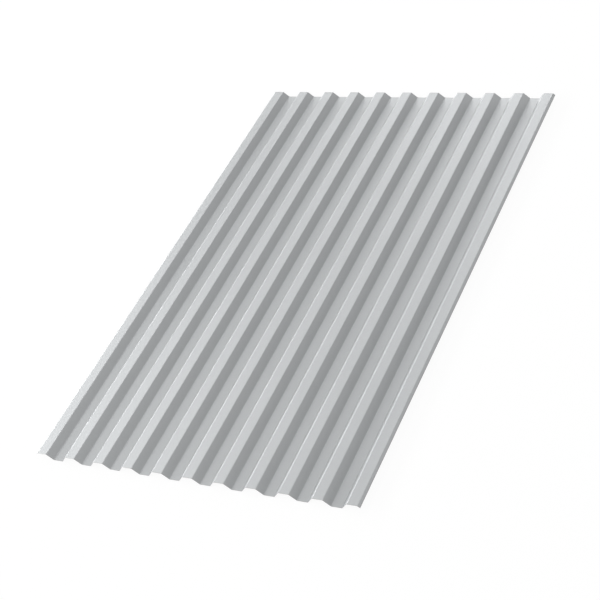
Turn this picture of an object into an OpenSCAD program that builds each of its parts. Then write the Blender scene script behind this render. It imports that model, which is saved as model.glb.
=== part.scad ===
// Profiled steel sheet: one roll-formed strip with trapezoidal ribs along its length and a short lip at each side.
// Lengths are in millimetres. X runs across the ribs, Y along them, and Z is up.
// The origin is the middle of the rectangle that the sheet covers on the floor, at floor level.

/* [Sheet] */
// Cut length, along the ribs
sheet_length = 1670; // [300:10:6000]
// Thickness of the steel with its coating
sheet_thickness = 0.5; // [0.4:0.05:1.2]

/* [Profile] */
// Number of pitches, which is one less than the number of ribs
pitch_count = 10; // [1:1:14]
// Distance from the middle of one rib to the middle of the next
rib_pitch = 100; // [90:1:160]
// Height from the underside of a pan to the top of a rib
profile_height = 21; // [12:0.5:45]
// Width of a rib's top, between the corners of the sheet's middle line
rib_top_width = 31.5; // [15:0.5:50]
// Width of a pan's bottom, between the corners of the sheet's middle line
pan_width = 31.5; // [15:0.5:36]

/* [Bends and edges] */
// Radius on the inside of each bend
bend_radius = 3; // [1:0.25:4]
// Facets along each bend
bend_steps = 6; // [2:1:12]
// Reach of each side lip beyond the corner of the outermost rib
lip_run = 6; // [4:0.5:10]

/* [Hidden] */
half_thickness = sheet_thickness / 2;
middle_radius = bend_radius + half_thickness;
// Heights of the middle line in the pans and on the ribs
pan_level = half_thickness;
rib_level = profile_height - half_thickness;
// Each web crosses this run while it climbs from a pan to a rib
web_run = (rib_pitch - rib_top_width - pan_width) / 2;
web_slope = (rib_level - pan_level) / web_run;
lip_level = rib_level - lip_run * web_slope;

function rib_middle(rib) = (rib - pitch_count / 2) * rib_pitch;

// Foot of a rib on one side (-1 left, 1 right): the free edge of the lip on the outer side of an outermost rib
function rib_foot(rib, side) =
    let (
        outermost = rib == (side < 0 ? 0 : pitch_count),
        run = outermost ? lip_run : web_run,
        level = outermost ? lip_level : pan_level
    )
    [rib_middle(rib) + side * (rib_top_width / 2 + run), level];

function rib_shoulder(rib, side) = [rib_middle(rib) + side * rib_top_width / 2, rib_level];

// Corners of the middle line from the left lip to the right lip
corners = [
    for (rib = [0 : pitch_count])
        each [rib_foot(rib, -1), rib_shoulder(rib, -1), rib_shoulder(rib, 1), rib_foot(rib, 1)]
];
last_corner = len(corners) - 1;

function heading(from, to) = atan2(to.y - from.y, to.x - from.x);

// Point beside a place on the middle line, offset to the left of its heading
function beside(place, direction, offset) = place + offset * [-sin(direction), cos(direction)];

// Arc around one corner for a line that runs beside the middle line at the given offset
function bend(corner, offset) =
    let (
        enter = heading(corners[corner - 1], corners[corner]),
        turn = heading(corners[corner], corners[corner + 1]) - enter,
        hand = sign(turn),
        centre = beside(corners[corner], enter + turn / 2, hand * middle_radius / cos(turn / 2)),
        radius = middle_radius - hand * offset
    )
    [for (step = [0 : bend_steps]) beside(centre, enter + turn * step / bend_steps, -hand * radius)];

// One face of the sheet from edge to edge
function face_line(offset) = [
    beside(corners[0], heading(corners[0], corners[1]), offset),
    for (corner = [1 : last_corner - 1]) each bend(corner, offset),
    beside(corners[last_corner], heading(corners[last_corner - 1], corners[last_corner]), offset)
];

function reversed(line) = [for (i = [len(line) - 1 : -1 : 0]) line[i]];

module section() {
    polygon(concat(face_line(half_thickness), reversed(face_line(-half_thickness))));
}

module profiled_sheet() {
    color([0.62, 0.63, 0.64])
        rotate([90, 0, 0])
            linear_extrude(sheet_length, center = true)
                section();
}

profiled_sheet();
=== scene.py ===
"""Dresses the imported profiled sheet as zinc-coated steel and sets it in a plain white studio.

The rolled strip is meshed again with finer bends and broken cut edges, in metres and in the frame of the
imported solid, and gets its own finishes for the front, the back and the sheared edges.
"""
import logging
import math
from dataclasses import dataclass, field
from enum import IntEnum

import bpy
from mathutils import Matrix, Vector


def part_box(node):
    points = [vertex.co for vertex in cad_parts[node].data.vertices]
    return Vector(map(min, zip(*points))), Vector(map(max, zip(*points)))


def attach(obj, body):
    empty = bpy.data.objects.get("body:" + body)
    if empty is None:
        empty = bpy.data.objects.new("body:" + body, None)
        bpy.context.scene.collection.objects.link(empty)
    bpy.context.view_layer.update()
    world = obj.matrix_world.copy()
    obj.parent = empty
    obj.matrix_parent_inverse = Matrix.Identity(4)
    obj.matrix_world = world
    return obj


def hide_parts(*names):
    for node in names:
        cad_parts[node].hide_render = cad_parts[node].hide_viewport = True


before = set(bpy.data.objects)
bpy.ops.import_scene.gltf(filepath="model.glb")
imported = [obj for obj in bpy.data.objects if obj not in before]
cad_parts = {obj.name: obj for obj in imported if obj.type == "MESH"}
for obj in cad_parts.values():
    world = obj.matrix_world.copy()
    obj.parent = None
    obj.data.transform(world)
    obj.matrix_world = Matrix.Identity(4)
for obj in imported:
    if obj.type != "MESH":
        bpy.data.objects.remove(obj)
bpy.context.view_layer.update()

SHEET_NODE = "profiled_sheet"
SHEET_BODY = "root"
UNROLLED_MAP = "OFBake"
BEND_MARK = "bend"
RIM_MARK = "rim"

# Sockets of the Mix node while it mixes colours
MIX_SHARE = 0
MIX_FIRST = 6
MIX_SECOND = 7
MIX_RESULT = 2

Colour = tuple[float, float, float]
log = logging.getLogger("profiled_sheet")


class Face(IntEnum):
    """Sides of the sheet, each with a material slot of its own."""

    FRONT = 0
    BACK = 1
    CUT = 2


class CutBand(IntEnum):
    """Bands of the cut faces on the surface's map, in band heights above the unrolled strip."""

    NEAR_END = 1
    FAR_END = 3
    LEFT_LIP = 6
    RIGHT_LIP = 8


@dataclass(frozen=True)
class Station:
    """One place on the section's middle line.

    Attributes:
        place: Across and height, in metres.
        heading: Direction of the middle line, in radians.
        travel: Length of strip from the left edge to here, in metres.
        bend: 1 on a bend and 0 on a flat.
    """

    place: Vector
    heading: float
    travel: float
    bend: float

    def beside(self, offset: float) -> Vector:
        """Place at an offset to the left of the heading, which is the sheet's front."""
        return self.place + offset * self.normal

    @property
    def normal(self) -> Vector:
        """Unit vector from the middle line towards the sheet's front."""
        return Vector((-math.sin(self.heading), math.cos(self.heading)))


@dataclass(frozen=True)
class RolledSection:
    """Section that the forming rolls give the strip, with its sizes in metres.

    Attributes:
        width: Width of the whole sheet.
        height: Depth of the profile, from the floor to the ribs' tops.
        pitch: Distance from rib to rib.
        rib_top: Width of a rib's top, between the corners of the middle line.
        pan: Width of a pan, between the corners of the middle line.
        thickness: Thickness of the steel.
        bend_radius: Radius on the inside of a bend.
        lip_run: Distance that a side lip reaches past the outermost corner.
        bend_steps: Steps that a bend is meshed in.
        flat_steps: Steps that a flat is meshed in.
        bend_fade: Distance from a bend over which its mark fades out.
    """

    width: float
    height: float
    pitch: float = 0.100
    rib_top: float = 0.0315
    pan: float = 0.0315
    thickness: float = 0.0005
    bend_radius: float = 0.003
    lip_run: float = 0.006
    bend_steps: int = 10
    flat_steps: int = 3
    bend_fade: float = 0.0012

    @property
    def half(self) -> float:
        """Distance from the middle line to either face."""
        return self.thickness / 2

    @property
    def pitches(self) -> int:
        """Number of whole pitches across the sheet."""
        return int((self.width - self.rib_top) / self.pitch)

    @property
    def web_rise(self) -> Vector:
        """Run and rise of a web, from a pan to a rib."""
        return Vector(((self.pitch - self.rib_top - self.pan) / 2, self.height - self.thickness))

    @property
    def lip_rise(self) -> Vector:
        """Run and rise of a side lip, which has the slope of a web."""
        return self.web_rise * (self.lip_run / self.web_rise.x)

    def corners(self) -> list[Vector]:
        """Corners of the middle line.

        Returns:
            The corners from the left lip's edge to the right lip's edge.
        """
        found = []
        last = self.pitches
        for rib in range(last + 1):
            middle = (rib - last / 2) * self.pitch
            shoulder = Vector((self.rib_top / 2, self.height - self.half))
            for side, outer in ((-1, rib == 0), (1, rib == last)):
                drop = self.lip_rise if outer else self.web_rise
                foot = Vector((middle + side * (shoulder.x + drop.x), shoulder.y - drop.y))
                top = Vector((middle + side * shoulder.x, shoulder.y))
                found += [foot, top] if side < 0 else [top, foot]
        return found

    def stations(self) -> list[Station]:
        """Places along the middle line: each bend in steps, and the flats between them.

        Returns:
            The stations from the left lip's edge to the right lip's edge.
        """
        corners = self.corners()
        spans = list(zip(corners, corners[1:]))
        headings = [math.atan2((b - a).y, (b - a).x) for a, b in spans]
        found = [Station(corners[0], headings[0], 0.0, 0.0)]
        for corner, enter, leave in zip(corners[1:], headings, headings[1:]):
            bend = self._bend(corner, enter, leave)
            self._flat(found, *bend[0])
            for place, heading in bend:
                self._step(found, place, heading, 1.0)
        self._flat(found, corners[-1], headings[-1])
        self._step(found, corners[-1], headings[-1], 0.0)
        return found

    def _bend(self, corner: Vector, enter: float, leave: float) -> list[tuple[Vector, float]]:
        """Points of one bend.

        Args:
            corner: Sharp corner that the bend rounds.
            enter: Heading before the bend.
            leave: Heading after it.

        Returns:
            Each point's place and heading.
        """
        turn = leave - enter
        hand = math.copysign(1.0, turn)
        radius = self.bend_radius + self.half
        inward = enter + turn / 2 + hand * math.pi / 2
        centre = corner + radius / math.cos(turn / 2) * Vector((math.cos(inward), math.sin(inward)))
        points = []
        for step in range(self.bend_steps + 1):
            heading = enter + turn * step / self.bend_steps
            outward = Vector((math.sin(heading), -math.cos(heading)))
            points.append((centre + hand * radius * outward, heading))
        return points

    def _flat(self, found: list[Station], end: Vector, heading: float) -> None:
        """Adds the places between the last station and the end of a flat.

        Args:
            found: Stations so far, to which the new ones are added.
            end: Place where the flat ends, which isn't added.
            heading: Direction of the flat.
        """
        start = found[-1].place
        along = Vector((math.cos(heading), math.sin(heading)))
        length = (end - start).length
        for step in range(self.flat_steps + 1):
            distance = self.bend_fade + (length - 2 * self.bend_fade) * step / self.flat_steps
            self._step(found, start + distance * along, heading, 0.0)

    @staticmethod
    def _step(found: list[Station], place: Vector, heading: float, bend: float) -> None:
        """Adds a station at a place, with the travel that it takes to reach it."""
        travel = found[-1].travel + (place - found[-1].place).length
        found.append(Station(place, heading, travel, bend))


@dataclass
class MeshDraft:
    """Lists that a mesh is made from, filled one face at a time.

    Attributes:
        points: Places of the points, in metres.
        faces: Numbers of each face's points.
        sides: Side of the sheet that each face belongs to.
        normals: Shading normal at each corner of each face.
        flat_places: Place of each corner of each face on the surface's map.
    """

    points: list[Vector]
    faces: list[tuple[int, ...]] = field(default_factory=list)
    sides: list[Face] = field(default_factory=list)
    normals: list[Vector] = field(default_factory=list)
    flat_places: list[tuple[float, float]] = field(default_factory=list)

    def add(self, face: tuple[int, ...], side: Face, normals: list[Vector],
            places: list[tuple[float, float]]) -> None:
        """Adds one face.

        Args:
            face: Numbers of its points, anticlockwise from outside.
            side: Side of the sheet that it belongs to.
            normals: Shading normal at each of its corners.
            places: Place of each of its corners on the unrolled strip's map.
        """
        self.faces.append(face)
        self.sides.append(side)
        self.normals += normals
        self.flat_places += places


@dataclass
class ProfiledSheet:
    """The sheet itself: one rolled strip, cut square at both ends.

    Attributes:
        section: Section of the strip.
        length: Length along the ribs, in metres.
        rings: Steps along the ribs between the two rims.
        edge_break: Depth of the small slope that breaks a cut edge, in metres.
        rim_width: Width of the rim at each end where the coat may be bared, in metres.
        cut_band: Height of a cut face's band on the surface's map.
        stops: Stations of the section, set while building.
        places: Places of the rings along the ribs, set while building.
    """

    section: RolledSection
    length: float
    rings: int = 24
    edge_break: float = 0.00008
    rim_width: float = 0.0025
    cut_band: float = 0.02
    stops: list[Station] = field(default_factory=list, init=False)
    places: list[float] = field(default_factory=list, init=False)

    def build(self) -> bpy.types.Object:
        """Meshes the strip with its bends, broken edges and marks.

        Returns:
            The sheet's object, linked to the scene.
        """
        self.stops = self.section.stations()
        self.places = self._ring_places()
        draft = MeshDraft(self._points())
        self._skin(draft)
        self._cut_ends(draft)
        self._cut_lips(draft)
        mesh = bpy.data.meshes.new("profiled_sheet_skin")
        mesh.from_pydata(draft.points, [], draft.faces)
        mesh.polygons.foreach_set("material_index", [int(side) for side in draft.sides])
        mesh.polygons.foreach_set("use_smooth", [side != Face.CUT for side in draft.sides])
        self._mark(mesh)
        self._unroll(mesh, draft)
        mesh.normals_split_custom_set(draft.normals)
        mesh.validate(clean_customdata=False)
        sheet = bpy.data.objects.new("profiled_sheet_skin", mesh)
        bpy.context.scene.collection.objects.link(sheet)
        return sheet

    def dress(self, sheet: bpy.types.Object, finishes: dict[Face, bpy.types.Material]) -> None:
        """Gives each side its finish and sets the sheet in the frame.

        Args:
            sheet: Object that build made.
            finishes: Material of each side.
        """
        for side in Face:
            sheet.data.materials.append(finishes[side])
        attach(sheet, SHEET_BODY)
        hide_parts(SHEET_NODE)

    def _ring_places(self) -> list[float]:
        """Places along the ribs at which the section is repeated.

        Returns:
            The places from the near end to the far end, in metres.
        """
        end = self.length / 2
        inner = end - self.rim_width
        even = [inner * (2 * ring / self.rings - 1) for ring in range(self.rings + 1)]
        return [-end, self.edge_break - end, *even, end - self.edge_break, end]

    def _points(self) -> list[Vector]:
        """Points of the front, ring by ring, and then those of the back.

        Returns:
            The points in metres, drawn in a little at the cut edges.
        """
        points = []
        last_ring = len(self.places) - 1
        last_stop = len(self.stops) - 1
        for hand in (1, -1):
            for ring, along in enumerate(self.places):
                for number, stop in enumerate(self.stops):
                    at_edge = ring in (0, last_ring) or number in (0, last_stop)
                    offset = hand * (self.section.half - (self.edge_break if at_edge else 0))
                    place = stop.beside(offset)
                    points.append(Vector((place.x, along, place.y)))
        return points

    def _number(self, ring: int, stop: int, side: Face) -> int:
        """Number of the point at a ring and a station, on the front or the back."""
        layer = len(self.places) * len(self.stops) if side == Face.BACK else 0
        return layer + ring * len(self.stops) + stop

    def _flat_place(self, ring: int, stop: int, side: Face) -> tuple[float, float]:
        """Place on the unrolled strip's map, with the back laid out beside the front.

        Args:
            ring: Number of the ring.
            stop: Number of the station.
            side: Front or back.

        Returns:
            The place on the map.
        """
        strip = self.stops[-1].travel
        across = self.stops[stop].travel + (strip if side == Face.BACK else 0)
        return across / (2 * strip), (self.places[ring] + self.length / 2) / (2 * strip)

    def _skin(self, draft: MeshDraft) -> None:
        """Adds the faces of the front and the back, ring by ring.

        Args:
            draft: Mesh lists to add to.
        """
        last_ring = len(self.places) - 2
        last_stop = len(self.stops) - 2
        for side in (Face.FRONT, Face.BACK):
            hand = 1 if side == Face.FRONT else -1
            for ring in range(last_ring + 1):
                for stop in range(last_stop + 1):
                    corners = [(ring, stop), (ring, stop + 1), (ring + 1, stop + 1), (ring + 1, stop)]
                    corners = corners[::hand]
                    face = tuple(self._number(r, s, side) for r, s in corners)
                    broken = ring in (0, last_ring) or stop in (0, last_stop)
                    normals = [self._skin_normal(s, hand) for _, s in corners]
                    places = [self._flat_place(r, s, side) for r, s in corners]
                    draft.add(face, Face.CUT if broken else side, normals, places)

    def _skin_normal(self, stop: int, hand: int) -> Vector:
        """Shading normal of the front (hand 1) or the back (hand -1) at a station."""
        normal = self.stops[stop].normal * hand
        return Vector((normal.x, 0.0, normal.y))

    def _cut_ends(self, draft: MeshDraft) -> None:
        """Adds the sheared faces at the two ends.

        Args:
            draft: Mesh lists to add to.
        """
        ends = ((0, 1, CutBand.NEAR_END), (len(self.places) - 1, -1, CutBand.FAR_END))
        for ring, hand, band in ends:
            for stop in range(len(self.stops) - 1):
                corners = [
                    (stop, Face.FRONT), (stop, Face.BACK), (stop + 1, Face.BACK), (stop + 1, Face.FRONT),
                ][::hand]
                face = tuple(self._number(ring, s, side) for s, side in corners)
                places = [self._cut_place(band, self._share(s), side) for s, side in corners]
                draft.add(face, Face.CUT, [Vector((0.0, -hand, 0.0))] * 4, places)

    def _share(self, stop: int) -> float:
        """Share of the strip's width from the left edge to a station."""
        return self.stops[stop].travel / self.stops[-1].travel

    def _cut_place(self, band: CutBand, share: float, side: Face) -> tuple[float, float]:
        """Place of a cut face's corner on the map.

        Args:
            band: Band of the cut face, above the unrolled strip.
            share: Share of the cut's length from its start.
            side: Front or back of the sheet.

        Returns:
            The place on the map.
        """
        base = self.length / (2 * self.stops[-1].travel) + self.cut_band * band
        return share, base + (self.cut_band if side == Face.FRONT else 0)

    def _cut_lips(self, draft: MeshDraft) -> None:
        """Adds the slit faces along the two lips.

        Args:
            draft: Mesh lists to add to.
        """
        lips = ((0, 1, CutBand.LEFT_LIP), (len(self.stops) - 1, -1, CutBand.RIGHT_LIP))
        for stop, hand, band in lips:
            along = self.stops[stop].heading
            outward = Vector((math.cos(along), 0.0, math.sin(along))) * -hand
            for ring in range(len(self.places) - 1):
                corners = [
                    (ring, Face.FRONT), (ring + 1, Face.FRONT), (ring + 1, Face.BACK), (ring, Face.BACK),
                ][::hand]
                face = tuple(self._number(r, stop, side) for r, side in corners)
                places = [
                    self._cut_place(band, 0.5 + self.places[r] / self.length, side) for r, side in corners
                ]
                draft.add(face, Face.CUT, [outward] * 4, places)

    def _mark(self, mesh: bpy.types.Mesh) -> None:
        """Stores where the bends and the rims of the cut edges are.

        Args:
            mesh: Mesh of the sheet.
        """
        bends = []
        rims = []
        end_rings = (0, 1, len(self.places) - 2, len(self.places) - 1)
        edge_stops = (0, 1, len(self.stops) - 2, len(self.stops) - 1)
        for _ in (Face.FRONT, Face.BACK):
            for ring in range(len(self.places)):
                for number, stop in enumerate(self.stops):
                    bends.append(stop.bend)
                    rims.append(1.0 if ring in end_rings or number in edge_stops else 0.0)
        for name, values in ((BEND_MARK, bends), (RIM_MARK, rims)):
            mesh.attributes.new(name, "FLOAT", "POINT").data.foreach_set("value", values)

    @staticmethod
    def _unroll(mesh: bpy.types.Mesh, draft: MeshDraft) -> None:
        """Stores the unrolled strip's layout as a map of the surface."""
        layer = mesh.uv_layers.new(name=UNROLLED_MAP, do_init=False)
        layer.uv.foreach_set("vector", [number for place in draft.flat_places for number in place])


class Wiring:
    """A node tree with short calls to add nodes, set their inputs and link them."""

    def __init__(self, tree: bpy.types.NodeTree) -> None:
        """Starts with the tree's nodes cleared."""
        self.tree = tree
        tree.nodes.clear()

    def add(self, kind: str, inputs: dict | None = None, **settings: object) -> bpy.types.Node:
        """Adds a node.

        Args:
            kind: Blender's name of the node type.
            inputs: Value, or socket to link from, for each input's name or number.
            settings: Attributes of the node itself.

        Returns:
            The new node.
        """
        node = self.tree.nodes.new(kind)
        for name, value in settings.items():
            setattr(node, name, value)
        for name, value in (inputs or {}).items():
            if isinstance(value, bpy.types.NodeSocket):
                self.tree.links.new(value, node.inputs[name])
            else:
                node.inputs[name].default_value = value
        return node

    def math(self, operation: str, *values: object) -> bpy.types.NodeSocket:
        """Result of a Math node.

        Args:
            operation: Blender's name of the operation.
            values: Numbers or sockets.

        Returns:
            The socket that holds the result.
        """
        return self.add("ShaderNodeMath", dict(enumerate(values)), operation=operation).outputs[0]

    def blend(self, share: object, first: object, second: object) -> bpy.types.NodeSocket:
        """Mix of two colours.

        Args:
            share: Share of the second colour, as a number or a socket.
            first: Colour or socket.
            second: Colour or socket.

        Returns:
            The socket that holds the mix.
        """
        parts = {MIX_SHARE: share, MIX_FIRST: first, MIX_SECOND: second}
        return self.add("ShaderNodeMix", parts, data_type="RGBA").outputs[MIX_RESULT]

    def span(self, value: bpy.types.NodeSocket, low: float, high: float) -> bpy.types.NodeSocket:
        """A value from 0 to 1 spread between two ends."""
        node = self.add("ShaderNodeMapRange", {"Value": value, "To Min": low, "To Max": high})
        return node.outputs["Result"]


class SharedEffect:
    """A shader node group that several finishes use, made once."""

    name = ""
    inputs: dict[str, float] = {}
    outputs: tuple[str, ...] = ()

    @classmethod
    def group(cls) -> bpy.types.NodeTree:
        """The effect's node group, made on first use.

        Returns:
            The group's tree.
        """
        found = bpy.data.node_groups.get(cls.name)
        if found:
            return found
        tree = bpy.data.node_groups.new(cls.name, "ShaderNodeTree")
        for name, value in cls.inputs.items():
            socket = tree.interface.new_socket(name, in_out="INPUT", socket_type="NodeSocketFloat")
            socket.default_value = value
        for name in cls.outputs:
            tree.interface.new_socket(name, in_out="OUTPUT", socket_type="NodeSocketFloat")
        board = Wiring(tree)
        entry = board.add("NodeGroupInput")
        results = cls.wire(board, entry)
        board.add("NodeGroupOutput", dict(zip(cls.outputs, results)))
        return tree

    @classmethod
    def wire(cls, board: Wiring, entry: bpy.types.Node) -> list[bpy.types.NodeSocket]:
        """Wires the effect.

        Args:
            board: The group's tree.
            entry: The group's input node.

        Returns:
            A socket for each of the effect's outputs.
        """
        raise NotImplementedError

    @classmethod
    def place(cls, board: Wiring, **values: float) -> bpy.types.Node:
        """Places the group in a material.

        Args:
            board: The material's tree.
            values: Inputs that differ from the group's own, with spaces written as underscores.

        Returns:
            The group node.
        """
        node = board.add("ShaderNodeGroup", node_tree=cls.group())
        for name, value in values.items():
            node.inputs[name.replace("_", " ")].default_value = value
        return node


class RollingGrain(SharedEffect):
    """Faint streaks that the mill and the forming rolls leave along the strip, and a fine satin grain."""

    name = "rolling_grain"
    inputs = {"Streaks Per Metre": 420.0, "Streak Length": 0.9, "Grains Per Metre": 1600.0}
    outputs = ("Streaks", "Grain")

    @classmethod
    def wire(cls, board: Wiring, entry: bpy.types.Node) -> list[bpy.types.NodeSocket]:
        """Wires noise drawn out along the strip, and even noise.

        Args:
            board: The group's tree.
            entry: The group's input node.

        Returns:
            The streaks and the grain, both from 0 to 1.
        """
        place = board.add("ShaderNodeTexCoord").outputs["Object"]
        parts = board.add("ShaderNodeSeparateXYZ", {0: place})
        across = entry.outputs["Streaks Per Metre"]
        along = board.math("DIVIDE", 1.0, entry.outputs["Streak Length"])
        drawn = board.add("ShaderNodeCombineXYZ", {
            "X": board.math("MULTIPLY", parts.outputs["X"], across),
            "Y": board.math("MULTIPLY", parts.outputs["Y"], along),
            "Z": board.math("MULTIPLY", parts.outputs["Z"], across),
        })
        streaks = board.add("ShaderNodeTexNoise", {"Vector": drawn.outputs[0], "Scale": 1.0, "Detail": 3.0})
        grain = board.add("ShaderNodeTexNoise", {
            "Vector": place, "Scale": entry.outputs["Grains Per Metre"], "Detail": 2.0,
        })
        return [streaks.outputs["Fac"], grain.outputs["Fac"]]


class ZincBloom(SharedEffect):
    """Cloudy tone of a zinc coat, with the faint patches of its crystals."""

    name = "zinc_bloom"
    inputs = {
        "Clouds Per Metre": 4.0, "Crystals Per Metre": 90.0, "Tears Per Metre": 220.0, "Tear Reach": 0.006,
    }
    outputs = ("Clouds", "Crystals")

    @classmethod
    def wire(cls, board: Wiring, entry: bpy.types.Node) -> list[bpy.types.NodeSocket]:
        """Wires slow noise for the clouds and cells with torn borders for the crystals.

        Args:
            board: The group's tree.
            entry: The group's input node.

        Returns:
            The clouds and the crystals, both from 0 to 1.
        """
        place = board.add("ShaderNodeTexCoord").outputs["Object"]
        clouds = board.add("ShaderNodeTexNoise", {
            "Vector": place, "Scale": entry.outputs["Clouds Per Metre"], "Detail": 4.0, "Roughness": 0.55,
        })
        torn = board.add("ShaderNodeTexNoise", {
            "Vector": place, "Scale": entry.outputs["Tears Per Metre"], "Detail": 2.0,
        })
        shifted = board.add("ShaderNodeVectorMath", {
            0: torn.outputs["Color"], "Scale": entry.outputs["Tear Reach"],
        }, operation="SCALE")
        bent = board.add("ShaderNodeVectorMath", {0: place, 1: shifted.outputs[0]}, operation="ADD")
        cells = board.add("ShaderNodeTexVoronoi", {
            "Vector": bent.outputs[0], "Scale": entry.outputs["Crystals Per Metre"],
        })
        tone = board.add("ShaderNodeSeparateColor", {0: cells.outputs["Color"]})
        return [clouds.outputs["Fac"], tone.outputs[0]]


class FormingMarks(SharedEffect):
    """Where the coat is stretched on the bends, and where shearing bared it along the rims."""

    name = "forming_marks"
    inputs = {"Frays Per Metre": 900.0, "Fray Depth": 1.1, "Fray Softness": 0.25}
    outputs = ("Stretch", "Bared")

    @classmethod
    def wire(cls, board: Wiring, entry: bpy.types.Node) -> list[bpy.types.NodeSocket]:
        """Wires the marks that the mesh stores, broken up by fine noise.

        Args:
            board: The group's tree.
            entry: The group's input node.

        Returns:
            The stretched and the bared share of the coat, both from 0 to 1.
        """
        stretch = board.add("ShaderNodeAttribute", attribute_name=BEND_MARK).outputs["Fac"]
        rim = board.add("ShaderNodeAttribute", attribute_name=RIM_MARK).outputs["Fac"]
        place = board.add("ShaderNodeTexCoord").outputs["Object"]
        fray = board.add("ShaderNodeTexNoise", {"Vector": place, "Scale": entry.outputs["Frays Per Metre"]})
        worn = board.math("MULTIPLY", fray.outputs["Fac"], entry.outputs["Fray Depth"])
        bared = board.add("ShaderNodeMapRange", {
            "Value": board.math("SUBTRACT", rim, worn), "From Max": entry.outputs["Fray Softness"],
        })
        return [stretch, bared.outputs["Result"]]


@dataclass(frozen=True)
class ZincFinish:
    """A satin zinc coat on one side of the sheet.

    Attributes:
        name: Name of the material.
        light: Colour of the lighter patches.
        dark: Colour of the darker patches.
        bare: Colour of the steel where the coat is bared.
        metal: Share of the surface that shines as metal.
        satin: Lowest and highest roughness.
        grain: Depth of the fine grain, in metres.
        cloud_share: Share of the tone that follows the clouds.
        crystal_share: Share of the tone that follows the crystals.
        streak_share: Share of the tone that follows the streaks.
        stretch_share: How far the coat turns to the lighter colour on a bend.
    """

    name: str
    light: Colour
    dark: Colour
    bare: Colour
    metal: float
    satin: tuple[float, float]
    grain: float
    cloud_share: float = 0.55
    crystal_share: float = 0.2
    streak_share: float = 0.25
    stretch_share: float = 0.35

    def material(self) -> bpy.types.Material:
        """Makes the finish.

        Returns:
            The new material.
        """
        made = bpy.data.materials.new(self.name)
        made.use_nodes = True
        board = Wiring(made.node_tree)
        grain = RollingGrain.place(board)
        bloom = ZincBloom.place(board)
        marks = FormingMarks.place(board)
        clouds = board.math("MULTIPLY", bloom.outputs["Clouds"], self.cloud_share)
        crystals = board.math("MULTIPLY", bloom.outputs["Crystals"], self.crystal_share)
        streaks = board.math("MULTIPLY", grain.outputs["Streaks"], self.streak_share)
        tone = board.math("ADD", board.math("ADD", clouds, crystals), streaks)
        coat = board.blend(tone, (*self.dark, 1.0), (*self.light, 1.0))
        stretched = board.math("MULTIPLY", marks.outputs["Stretch"], self.stretch_share)
        bright = board.blend(stretched, coat, (*self.light, 1.0))
        colour = board.blend(marks.outputs["Bared"], bright, (*self.bare, 1.0))
        both = board.math("ADD", bloom.outputs["Crystals"], grain.outputs["Streaks"])
        sheen = board.math("DIVIDE", both, 2.0)
        relief = board.add("ShaderNodeBump", {
            "Strength": 1.0, "Distance": self.grain, "Height": grain.outputs["Grain"],
        })
        shader = board.add("ShaderNodeBsdfPrincipled", {
            "Base Color": colour,
            "Metallic": self.metal,
            "Roughness": board.span(sheen, *self.satin),
            "Normal": relief.outputs["Normal"],
        })
        board.add("ShaderNodeOutputMaterial", {"Surface": shader.outputs[0]})
        return made


@dataclass(frozen=True)
class ShearedSteel:
    """Bare steel of a sheared edge, with the drag lines of the blade across its thickness.

    Attributes:
        name: Name of the material.
        light: Colour of the brighter lines.
        dark: Colour of the darker lines.
        satin: Lowest and highest roughness.
        drag_lines: Drag lines per metre.
        drag_length: Length of a drag line, in metres.
    """

    name: str
    light: Colour
    dark: Colour
    satin: tuple[float, float]
    drag_lines: float = 1500.0
    drag_length: float = 0.004

    def material(self) -> bpy.types.Material:
        """Makes the finish.

        Returns:
            The new material.
        """
        made = bpy.data.materials.new(self.name)
        made.use_nodes = True
        board = Wiring(made.node_tree)
        drag = RollingGrain.place(board, Streaks_Per_Metre=self.drag_lines, Streak_Length=self.drag_length)
        colour = board.blend(drag.outputs["Streaks"], (*self.dark, 1.0), (*self.light, 1.0))
        shader = board.add("ShaderNodeBsdfPrincipled", {
            "Base Color": colour,
            "Metallic": 1.0,
            "Roughness": board.span(drag.outputs["Grain"], *self.satin),
        })
        board.add("ShaderNodeOutputMaterial", {"Surface": shader.outputs[0]})
        return made


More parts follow.
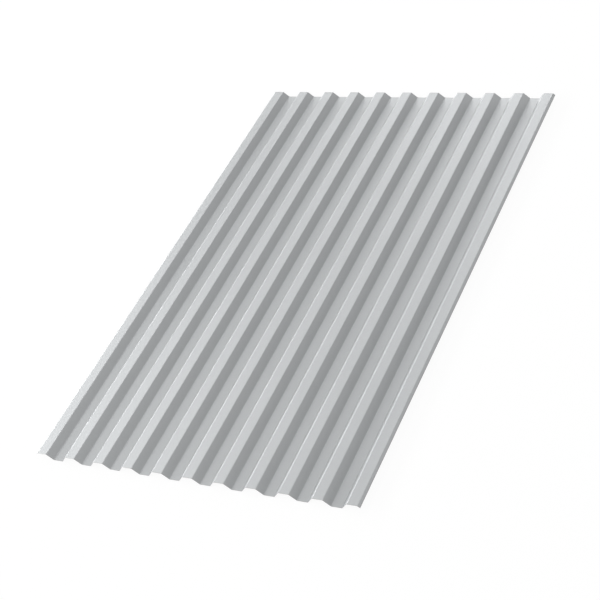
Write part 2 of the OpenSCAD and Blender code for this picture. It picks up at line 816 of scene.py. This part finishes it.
@dataclass(frozen=True)
class StudioFloor:
    """A pale floor that turns up into a low wall far from the sheet.

    Attributes:
        radius: Radius of the level part, in metres.
        cove: Radius of the turn up into the wall, in metres.
        wall: Height of the wall above the turn, in metres.
        sides: Sides of the round outline.
        cove_steps: Steps that the turn is meshed in.
        drop: Distance of the floor below the sheet, in metres.
        tone: Grey of the floor's paint, which takes the shadow.
        lift: Glow that makes the floor white to the rays that see it.
    """

    radius: float = 24.0
    cove: float = 3.0
    wall: float = 2.0
    sides: int = 96
    cove_steps: int = 12
    drop: float = 0.0002
    tone: float = 0.1
    lift: float = 0.92

    def build(self) -> bpy.types.Object:
        """Turns the floor's outline round the vertical axis.

        Returns:
            The floor's object.
        """
        outline = [(self.radius, 0.0)]
        for step in range(1, self.cove_steps + 1):
            turn = math.pi / 2 * step / self.cove_steps
            outline.append((self.radius + self.cove * math.sin(turn), self.cove * (1 - math.cos(turn))))
        outline.append((self.radius + self.cove, self.cove + self.wall))
        points = []
        for reach, height in outline:
            for side in range(self.sides):
                turn = math.tau * side / self.sides
                points.append((reach * math.cos(turn), reach * math.sin(turn), height - self.drop))
        faces = [tuple(range(self.sides))]
        for row in range(len(outline) - 1):
            for side in range(self.sides):
                after = (side + 1) % self.sides
                low = row * self.sides
                high = low + self.sides
                faces.append((low + side, low + after, high + after, high + side))
        mesh = bpy.data.meshes.new("studio_floor")
        mesh.from_pydata(points, [], faces)
        mesh.materials.append(self.material())
        floor = bpy.data.objects.new("studio_floor", mesh)
        bpy.context.scene.collection.objects.link(floor)
        return floor

    def material(self) -> bpy.types.Material:
        """Makes the floor's pale coat, which seen rays find white and which still takes a shadow.

        Returns:
            The new material.
        """
        made = bpy.data.materials.new("studio_floor")
        made.use_nodes = True
        # The glow is for the rays that see the floor, so it isn't sampled as a lamp
        made.cycles.emission_sampling = "NONE"
        board = Wiring(made.node_tree)
        path = board.add("ShaderNodeLightPath").outputs
        seen = board.math("MAXIMUM", path["Is Camera Ray"],
                          board.math("MAXIMUM", path["Is Glossy Ray"], path["Is Transmission Ray"]))
        glow = board.add("ShaderNodeEmission", {"Strength": board.math("MULTIPLY", seen, self.lift)})
        paint = board.add("ShaderNodeBsdfDiffuse", {"Color": (self.tone, self.tone, self.tone, 1.0)})
        both = board.add("ShaderNodeAddShader", {0: glow.outputs[0], 1: paint.outputs[0]})
        board.add("ShaderNodeOutputMaterial", {"Surface": both.outputs[0]})
        return made


@dataclass(frozen=True)
class SoftBox:
    """A soft lamp that faces the sheet.

    Attributes:
        name: Name of the lamp.
        azimuth: Direction of the lamp, in degrees anticlockwise from +X.
        elevation: Height of the lamp above the floor, in degrees.
        size: Width and height, in metres.
        power: Power in watts.
        distance: Distance from the sheet's middle, in metres.
    """

    name: str
    azimuth: float
    elevation: float
    size: tuple[float, float]
    power: float
    distance: float = 15.0

    def build(self) -> bpy.types.Object:
        """Places the lamp.

        Returns:
            The lamp's object.
        """
        lamp = bpy.data.lights.new(self.name, "AREA")
        lamp.shape = "RECTANGLE"
        lamp.size, lamp.size_y = self.size
        lamp.energy = self.power
        turn = math.radians(self.azimuth)
        rise = math.radians(self.elevation)
        away = Vector((math.cos(turn) * math.cos(rise), math.sin(turn) * math.cos(rise), math.sin(rise)))
        box = bpy.data.objects.new(self.name, lamp)
        box.location = away * self.distance
        box.rotation_euler = away.to_track_quat("Z", "Y").to_euler()
        box.visible_camera = False
        bpy.context.scene.collection.objects.link(box)
        return box


@dataclass(frozen=True)
class Studio:
    """Plain soft light: a grey room and a few soft lamps.

    Attributes:
        room: Strength of the even light from all round.
        lamps: Soft lamps round the sheet.
    """

    room: float
    lamps: tuple[SoftBox, ...]

    def build(self) -> None:
        """Makes the world and the lamps."""
        world = bpy.data.worlds.new("studio_room")
        world.use_nodes = True
        board = Wiring(world.node_tree)
        sky = board.add("ShaderNodeBackground", {"Color": (1.0, 1.0, 1.0, 1.0), "Strength": self.room})
        board.add("ShaderNodeOutputWorld", {"Surface": sky.outputs[0]})
        bpy.context.scene.world = world
        for lamp in self.lamps:
            lamp.build()


@dataclass(frozen=True)
class ViewCamera:
    """Camera at the photograph's viewing angle, for a square picture.

    Attributes:
        aim: Point on the sheet that the lens points at, in metres.
        azimuth: Degrees round the sheet from straight in front of its near end.
        elevation: Degrees above the floor.
        distance: Distance from the aim, in metres.
        roll: Degrees that the camera is turned about its own axis.
        lens: Focal length in millimetres, on a sensor 36 mm wide.
    """

    aim: tuple[float, float, float]
    azimuth: float
    elevation: float
    distance: float
    roll: float
    lens: float

    def build(self) -> bpy.types.Object:
        """Places the camera and makes it the scene's own.

        Returns:
            The camera's object.
        """
        turn = math.radians(self.azimuth)
        rise = math.radians(self.elevation)
        roll = math.radians(self.roll)
        back = Vector((math.sin(turn) * math.cos(rise), -math.cos(turn) * math.cos(rise), math.sin(rise)))
        level = Vector((0.0, 0.0, 1.0)).cross(back).normalized()
        upright = back.cross(level)
        right = level * math.cos(roll) + upright * math.sin(roll)
        up = back.cross(right)
        data = bpy.data.cameras.new("view_camera")
        data.lens = self.lens
        camera = bpy.data.objects.new("view_camera", data)
        turned = Matrix((right, up, back)).transposed().to_4x4()
        camera.matrix_world = Matrix.Translation(Vector(self.aim) + back * self.distance) @ turned
        bpy.context.scene.collection.objects.link(camera)
        bpy.context.scene.camera = camera
        return camera


FINISHES = {
    Face.FRONT: ZincFinish(
        name="zinc_front",
        light=(0.625, 0.640, 0.649),
        dark=(0.585, 0.600, 0.6085),
        bare=(0.50, 0.50, 0.50),
        metal=1.0,
        satin=(0.44, 0.47),
        grain=0.00001,
    ),
    Face.BACK: ZincFinish(
        name="zinc_back",
        light=(0.62, 0.63, 0.635),
        dark=(0.52, 0.53, 0.535),
        bare=(0.50, 0.50, 0.50),
        metal=1.0,
        satin=(0.52, 0.62),
        grain=0.00003,
    ),
    Face.CUT: ShearedSteel(
        name="sheared_steel",
        light=(0.56, 0.56, 0.555),
        dark=(0.40, 0.40, 0.395),
        satin=(0.35, 0.5),
    ),
}

STUDIO = Studio(
    room=0.414,
    lamps=(
        SoftBox("left_box", azimuth=185.6, elevation=17.7, size=(29.5, 3.0), power=2003.1),
        SoftBox("back_box", azimuth=111.2, elevation=9.8, size=(5.9, 4.9), power=499.4),
        SoftBox("top_box", azimuth=187.8, elevation=48.4, size=(26.6, 3.8), power=476.1),
        SoftBox("back_top_box", azimuth=53.9, elevation=59.1, size=(42.5, 9.2), power=517.7),
    ),
)

CAMERA = ViewCamera(
    aim=(0.02195, -0.13464, 0.0005),
    azimuth=39.963,
    elevation=39.775,
    distance=4.2558,
    roll=-23.182,
    lens=86.005,
)


def main() -> None:
    """Builds the sheet, its finishes, the studio and the camera."""
    logging.basicConfig(level=logging.INFO, format="%(name)s: %(message)s")
    bpy.context.scene.view_settings.view_transform = "Standard"
    CAMERA.build()
    low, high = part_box(SHEET_NODE)
    section = RolledSection(width=high.x - low.x, height=high.z - low.z)
    sheet = ProfiledSheet(section=section, length=high.y - low.y)
    skin = sheet.build()
    log.info("rolled strip: %d faces, %d pitches", len(skin.data.polygons), section.pitches)
    sheet.dress(skin, {side: finish.material() for side, finish in FINISHES.items()})
    log.info("finishes: %s", ", ".join(slot.name for slot in skin.data.materials))
    StudioFloor().build()
    STUDIO.build()
    log.info("studio: %d soft boxes", len(STUDIO.lamps))


if __name__ == "__main__":
    main()
